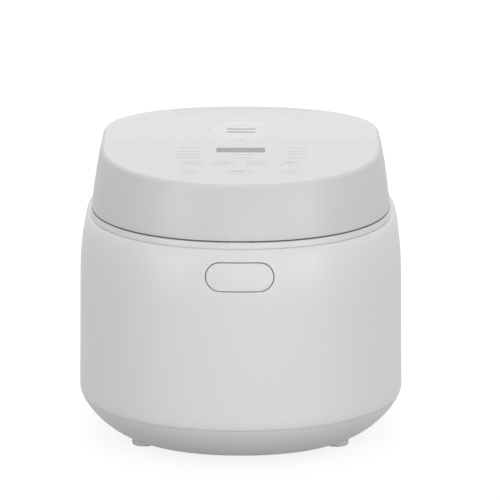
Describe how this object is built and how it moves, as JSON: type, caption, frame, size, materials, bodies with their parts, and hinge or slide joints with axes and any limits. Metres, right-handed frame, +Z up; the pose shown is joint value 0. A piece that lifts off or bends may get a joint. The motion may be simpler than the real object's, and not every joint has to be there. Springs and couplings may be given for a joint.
{
  "type": "rice cooker",
  "caption": "Rounded countertop rice cooker with a hinged lid, a sloping control panel with display and keys, a lift-off steam cap, an inner pot and a front release button.",
  "frame": {"origin": "centre of the footprint at the underside of the feet", "axes": "+Z up, front (display, keys, release button) towards -Y, +X to the right seen from the front"},
  "size_m": [0.272, 0.283, 0.2496],
  "materials": {
    "white_plastic": "satin white plastic",
    "white_trim": "fine-grained white plastic",
    "key_plastic": "light grey plastic",
    "window": "grey display window",
    "display": "grey display",
    "grey_plastic": "grey plastic",
    "dark_plastic": "dark plastic",
    "silicone": "translucent silicone",
    "foot_rubber": "grey rubber",
    "pot_coating": "dark non-stick coating",
    "steel_sheet": "steel sheet",
    "screw_steel": "zinc-plated steel",
    "cast_aluminium": "cast aluminium",
    "spring_steel": "spring steel",
    "mica": "heater foil and insulation",
    "board": "green circuit board",
    "component_black": "black component",
    "component_yellow": "yellow winding tape",
    "contact_brass": "brass contacts"
  },
  "bodies": {
    "cooker": {"body_shell": "white_plastic", "base_cover": "white_plastic", "collar": "white_plastic", "feet": "foot_rubber", "base_screws": "screw_steel", "collar_screws": "screw_steel", "inner_casing": "steel_sheet", "heating_plate": "cast_aluminium", "heating_tube": "screw_steel", "keep_warm_band": "mica", "inner_pot": "pot_coating", "sensor_holder": "grey_plastic", "sensor_spring": "spring_steel", "thermal_fuse": "screw_steel", "power_board": "board", "relay": "component_black", "capacitor": "component_yellow", "transformer": "component_yellow", "mains_inlet": "dark_plastic", "inlet_pins": "contact_brass", "latch_frame": "grey_plastic", "latch_screws": "screw_steel", "hinge_bracket": "white_plastic", "hinge_pin": "screw_steel", "hinge_spring": "spring_steel"},
    "lid": {"lid_shell": "white_plastic", "lid_liner": "white_trim", "lid_screws": "screw_steel", "lid_catch": "grey_plastic", "hinge_arm": "grey_plastic", "arm_screws": "screw_steel", "inner_lid": "steel_sheet", "inner_lid_knob": "silicone", "lid_gasket": "silicone", "control_panel": "white_plastic", "rear_cover": "white_plastic", "hinge_cover": "white_trim", "steam_cup": "grey_plastic", "steam_seal": "silicone", "display_window": "window", "display_module": "display", "display_board": "board", "key_switches": "component_black", "board_screws": "screw_steel"},
    "steam_cap": {"steam_cap": "white_plastic"},
    "menu_key": {"menu_key": "key_plastic"},
    "timer_key": {"timer_key": "key_plastic"},
    "hour_key": {"hour_key": "key_plastic"},
    "minute_key": {"minute_key": "key_plastic"},
    "warm_key": {"warm_key": "key_plastic"},
    "start_key": {"start_key": "key_plastic"},
    "off_key": {"off_key": "key_plastic"},
    "release": {"release_button": "white_plastic", "latch_slide": "grey_plastic", "release_spring": "spring_steel"},
    "sensor": {"sensor_cap": "cast_aluminium"}
  },
  "joints": [
    {"name": "lid_hinge", "type": "hinge", "parent": "cooker", "child": "lid", "pos_m": [0, 0.135, 0.1956], "axis": [-1, 0, 0], "range_deg": [0, 85]},
    {"name": "steam_cap_lift", "type": "slide", "parent": "lid", "child": "steam_cap", "axis": [0, -0.0487, 0.9988], "range_m": [0, 0.025]},
    {"name": "menu_key_press", "type": "slide", "parent": "lid", "child": "menu_key", "axis": [0, 0.0487, -0.9988], "range_m": [0, 0.0006], "stiffness_N_per_m": 1500, "springref_m": -0.0002},
    {"name": "timer_key_press", "type": "slide", "parent": "lid", "child": "timer_key", "axis": [0, 0.0487, -0.9988], "range_m": [0, 0.0006], "stiffness_N_per_m": 1500, "springref_m": -0.0002},
    {"name": "hour_key_press", "type": "slide", "parent": "lid", "child": "hour_key", "axis": [0, 0.0487, -0.9988], "range_m": [0, 0.0006], "stiffness_N_per_m": 1500, "springref_m": -0.0002},
    {"name": "minute_key_press", "type": "slide", "parent": "lid", "child": "minute_key", "axis": [0, 0.0487, -0.9988], "range_m": [0, 0.0006], "stiffness_N_per_m": 1500, "springref_m": -0.0002},
    {"name": "warm_key_press", "type": "slide", "parent": "lid", "child": "warm_key", "axis": [0, 0.0487, -0.9988], "range_m": [0, 0.0006], "stiffness_N_per_m": 1500, "springref_m": -0.0002},
    {"name": "start_key_press", "type": "slide", "parent": "lid", "child": "start_key", "axis": [0, 0.0487, -0.9988], "range_m": [0, 0.0006], "stiffness_N_per_m": 1500, "springref_m": -0.0002},
    {"name": "off_key_press", "type": "slide", "parent": "lid", "child": "off_key", "axis": [0, 0.0487, -0.9988], "range_m": [0, 0.0006], "stiffness_N_per_m": 1500, "springref_m": -0.0002},
    {"name": "release_press", "type": "slide", "parent": "cooker", "child": "release", "axis": [0, 1, 0], "range_m": [0, 0.003], "stiffness_N_per_m": 1500, "springref_m": -0.001},
    {"name": "sensor_press", "type": "slide", "parent": "cooker", "child": "sensor", "axis": [0, 0, -1], "range_m": [0, 0.0025], "stiffness_N_per_m": 800, "springref_m": -0.002, "deforming": ["sensor_spring"]}
  ]
}
